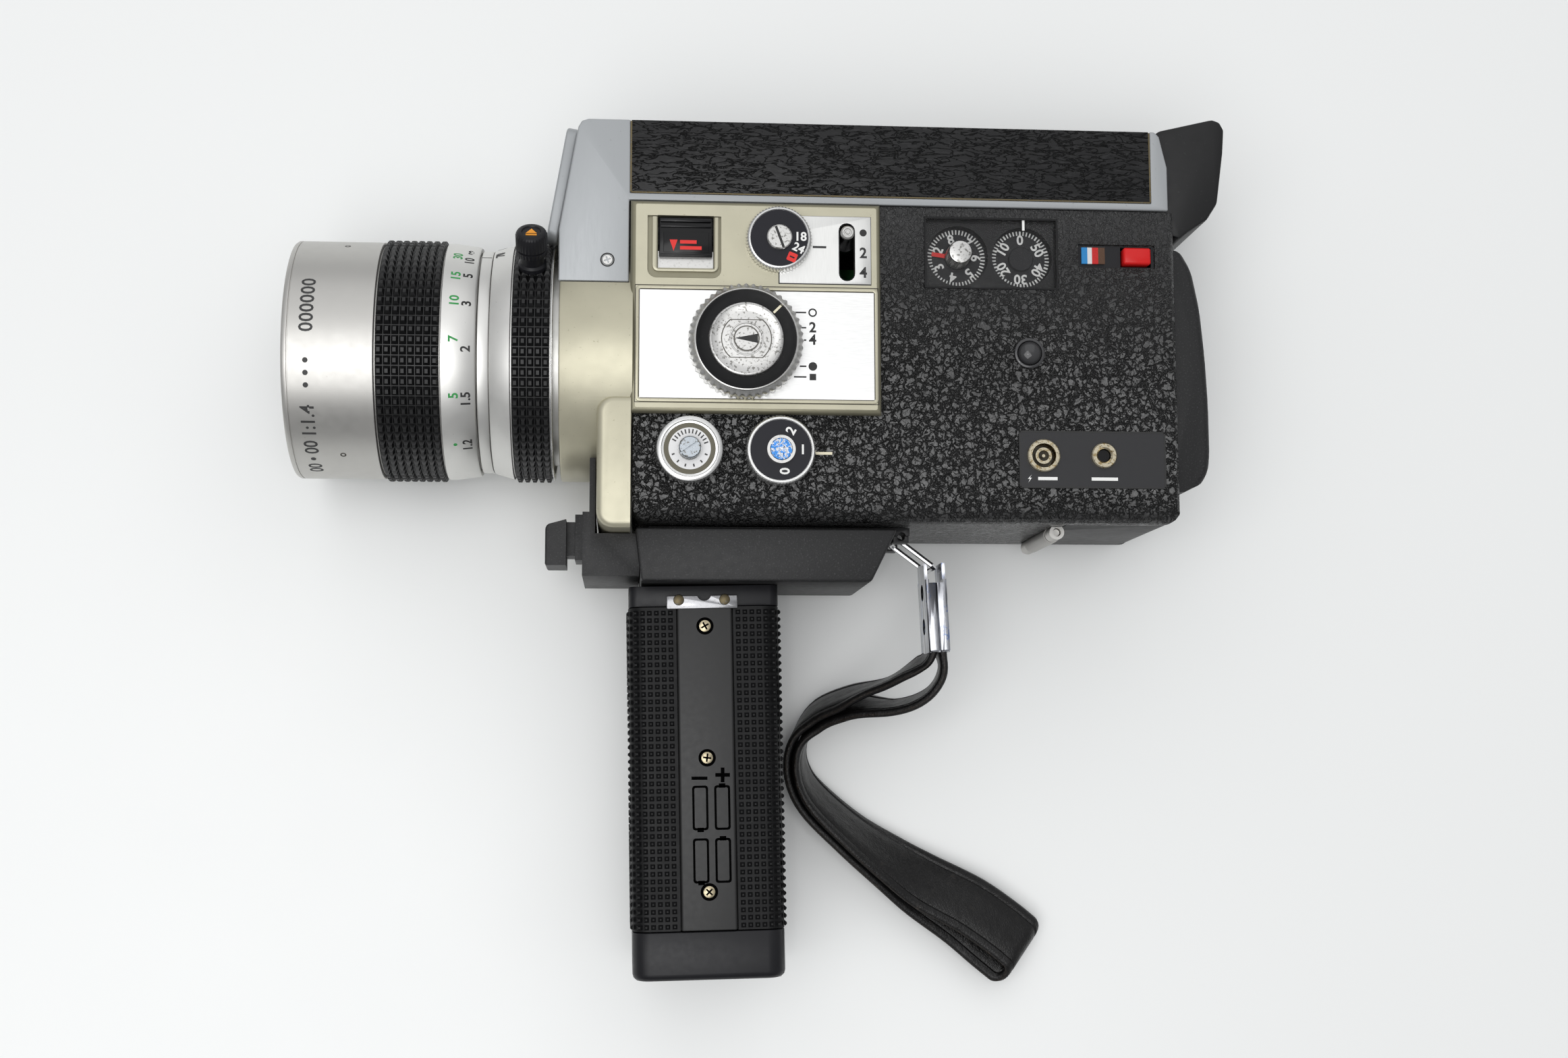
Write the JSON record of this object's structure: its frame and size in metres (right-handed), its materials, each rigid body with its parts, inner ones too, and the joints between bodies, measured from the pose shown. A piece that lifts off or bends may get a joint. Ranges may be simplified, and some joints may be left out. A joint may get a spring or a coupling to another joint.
{
  "type": "cine camera",
  "caption": "Cartridge-film cine camera with a zoom lens, side controls, rear film door, eyecup, battery pistol grip with trigger, and a leather wrist strap.",
  "frame": {"origin": "on the flat right cover that the camera lies on, level with the middle of the body along the lens axis and 8 mm above that axis", "axes": "+X from the lens to the eyepiece, +Y from the grip to the top cover, +Z out of the left side with the controls; Z = 0 is the table under the right cover"},
  "size_m": [0.2663, 0.2513, 0.0736],
  "materials": {
    "black_paint": "black wrinkle finish",
    "dark_plastic": "fine grain",
    "silver_paint": "satin",
    "champagne_paint": "satin",
    "satin_aluminium": "satin anodised",
    "chrome": "polished",
    "nickel": "nickel plated",
    "rubber": "moulded studs",
    "leatherette": "wrinkled grain",
    "strap_leather": "worn",
    "brushed_plate": "brushed",
    "black_gloss": "gloss",
    "red_plastic": "gloss",
    "glass": "clear",
    "steel": "plain",
    "board": "board",
    "cell_wrapper": "wrapped"
  },
  "bodies": {
    "camera": {"left_casing": "black_paint", "right_cover": "black_paint", "front_housing": "champagne_paint", "top_cover": "silver_paint", "leatherette": "leatherette", "front_plate": "chrome", "eyecup": "rubber", "control_panel": "champagne_paint", "white_plate": "brushed_plate", "counter_window": "glass", "flash_socket": "nickel", "remote_socket": "nickel", "lens_tube": "satin_aluminium", "relay_lens": "glass", "beam_splitter": "glass", "film_cartridge": "dark_plastic", "film_gate": "steel", "motor": "steel", "circuit_board": "board", "door_hinge": "chrome", "grip_head": "dark_plastic", "grip_core": "dark_plastic", "battery_cell_1": "cell_wrapper", "battery_cell_2": "cell_wrapper", "battery_cell_3": "cell_wrapper", "battery_cell_4": "cell_wrapper", "grip_cover": "rubber", "grip_strip": "dark_plastic"},
    "diopter": {"diopter_ring": "dark_plastic"},
    "focus": {"lens_barrel": "satin_aluminium", "focus_grip": "rubber", "distance_scale_ring": "satin_aluminium"},
    "front_cell": {"front_cell": "black_gloss", "front_element": "glass"},
    "zoom": {"zoom_ring": "satin_aluminium", "zoom_grip": "rubber", "zoom_lever": "black_gloss"},
    "variator": {"variator_lens": "glass"},
    "iris": {"iris_vane": "steel"},
    "slow_motion": {"slow_motion_key": "black_gloss"},
    "speed": {"speed_dial": "satin_aluminium"},
    "shutter_opening": {"shutter_lever": "satin_aluminium"},
    "fade": {"fade_dial": "satin_aluminium", "fade_knob": "satin_aluminium"},
    "aperture_pull": {"aperture_spindle": "steel"},
    "aperture": {"aperture_knob": "satin_aluminium"},
    "power": {"power_dial": "satin_aluminium"},
    "counter": {"counter_disc": "black_gloss"},
    "memo": {"memo_knob": "satin_aluminium"},
    "battery_check": {"battery_check_button": "red_plastic"},
    "dome": {"dome_button": "black_gloss"},
    "trigger": {"trigger": "dark_plastic"},
    "shutter": {"shutter_disc": "steel"},
    "take_up": {"take_up_spindle": "dark_plastic"},
    "film_door": {"film_door": "black_paint"},
    "door_latch": {"door_latch": "dark_plastic"},
    "grip_cap": {"grip_cap": "dark_plastic"},
    "strap_link": {"strap_link": "chrome"},
    "strap": {"strap_ferrule": "chrome", "strap": "strap_leather"}
  },
  "joints": [
    {"name": "focus_turn", "type": "hinge", "parent": "camera", "child": "focus", "pos_m": [-0.1097, -0.008, 0.0347], "axis": [1, 0, 0], "range_deg": [-120, 0]},
    {"name": "front_cell_slide", "type": "slide", "parent": "camera", "child": "front_cell", "axis": [-1, 0, 0], "range_m": [0, 0.0026]},
    {"name": "zoom_turn", "type": "hinge", "parent": "camera", "child": "zoom", "pos_m": [-0.095, -0.008, 0.0347], "axis": [1, 0, 0], "range_deg": [-12, 95]},
    {"name": "variator_slide", "type": "slide", "parent": "camera", "child": "variator", "axis": [1, 0, 0], "range_m": [-0.0015, 0.0102]},
    {"name": "diopter_turn", "type": "hinge", "parent": "camera", "child": "diopter", "pos_m": [0.087, 0.045, 0.0347], "axis": [1, 0, 0], "range_deg": [-60, 60]},
    {"name": "slow_motion_press", "type": "slide", "parent": "camera", "child": "slow_motion", "axis": [0, -1, 0], "range_m": [0, 0.003], "stiffness_N_per_m": 150, "springref_m": -0.001},
    {"name": "speed_turn", "type": "hinge", "parent": "camera", "child": "speed", "pos_m": [-0.0264, 0.0213, 0.0669], "axis": [0, 0, 1], "range_deg": [0, 60]},
    {"name": "shutter_slide", "type": "slide", "parent": "camera", "child": "shutter_opening", "axis": [0, -1, 0], "range_m": [0, 0.0105]},
    {"name": "fade_turn", "type": "hinge", "parent": "camera", "child": "fade", "pos_m": [-0.0357, -0.008, 0.0669], "axis": [0, 0, 1], "range_deg": [-64, 0]},
    {"name": "aperture_pull", "type": "slide", "parent": "camera", "child": "aperture_pull", "axis": [0, 0, 1], "range_m": [0, 0.002]},
    {"name": "aperture_turn", "type": "hinge", "parent": "aperture_pull", "child": "aperture", "pos_m": [-0.051, -0.0378, 0.0641], "axis": [0, 0, 1], "range_deg": [-60, 60]},
    {"name": "iris_swing", "type": "hinge", "parent": "camera", "child": "iris", "pos_m": [-0.0377, -0.026, 0.0347], "axis": [1, 0, 0], "range_deg": [-12.5, 12.5]},
    {"name": "power_turn", "type": "hinge", "parent": "camera", "child": "power", "pos_m": [-0.0259, -0.0379, 0.0641], "axis": [0, 0, 1], "range_deg": [-75, 80]},
    {"name": "counter_turn", "type": "hinge", "parent": "camera", "child": "counter", "pos_m": [0.0436, 0.0193, 0.0574], "axis": [0, 0, 1], "range_deg": [-300, 0]},
    {"name": "memo_turn", "type": "hinge", "parent": "camera", "child": "memo", "pos_m": [0.0251, 0.0194, 0.0584], "axis": [0, 0, 1], "range_deg": [-180, 180]},
    {"name": "battery_check_press", "type": "slide", "parent": "camera", "child": "battery_check", "axis": [0, 0, -1], "range_m": [0, 0.001], "stiffness_N_per_m": 200, "springref_m": -0.001},
    {"name": "dome_press", "type": "slide", "parent": "camera", "child": "dome", "axis": [0, 0, -1], "range_m": [0, 0.001], "stiffness_N_per_m": 200, "springref_m": -0.001},
    {"name": "trigger_pull", "type": "slide", "parent": "camera", "child": "trigger", "axis": [1, 0, 0], "range_m": [0, 0.0025], "stiffness_N_per_m": 300, "springref_m": -0.002},
    {"name": "shutter_spin", "type": "hinge", "parent": "camera", "child": "shutter", "pos_m": [0.0056, -0.027, 0.0347], "axis": [1, 0, 0], "continuous": true},
    {"name": "take_up_spin", "type": "hinge", "parent": "camera", "child": "take_up", "pos_m": [0.058, -0.0136, 0.012], "axis": [0, 0, 1], "continuous": true},
    {"name": "film_door_open", "type": "hinge", "parent": "camera", "child": "film_door", "pos_m": [0.054, -0.0584, 0.0347], "axis": [0, 0, 1], "range_deg": [-110, 0]},
    {"name": "door_latch_slide", "type": "slide", "parent": "camera", "child": "door_latch", "axis": [0, 0, -1], "range_m": [0, 0.004]},
    {"name": "grip_cap_pull", "type": "slide", "parent": "camera", "child": "grip_cap", "axis": [0.0192, -0.9998, 0], "range_m": [0, 0.02]},
    {"name": "strap_link_swing", "type": "hinge", "parent": "camera", "child": "strap_link", "pos_m": [0.0098, -0.0596, 0.0347], "axis": [0, 0, 1], "range_deg": [-1, 20]},
    {"name": "strap_swing", "type": "hinge", "parent": "strap_link", "child": "strap", "pos_m": [0.0204, -0.0676, 0.0347], "axis": [0, 0, 1], "range_deg": [-1.5, 60]}
  ],
  "couplings": [
    {"joint": "front_cell_slide", "follows": "focus_turn", "m_per_rad": -0.0011937},
    {"joint": "variator_slide", "follows": "zoom_turn", "m_per_rad": 0.0060311},
    {"joint": "iris_swing", "follows": "aperture_turn", "ratio": 0.2},
    {"joint": "take_up_spin", "follows": "shutter_spin", "ratio": 0.05}
  ]
}
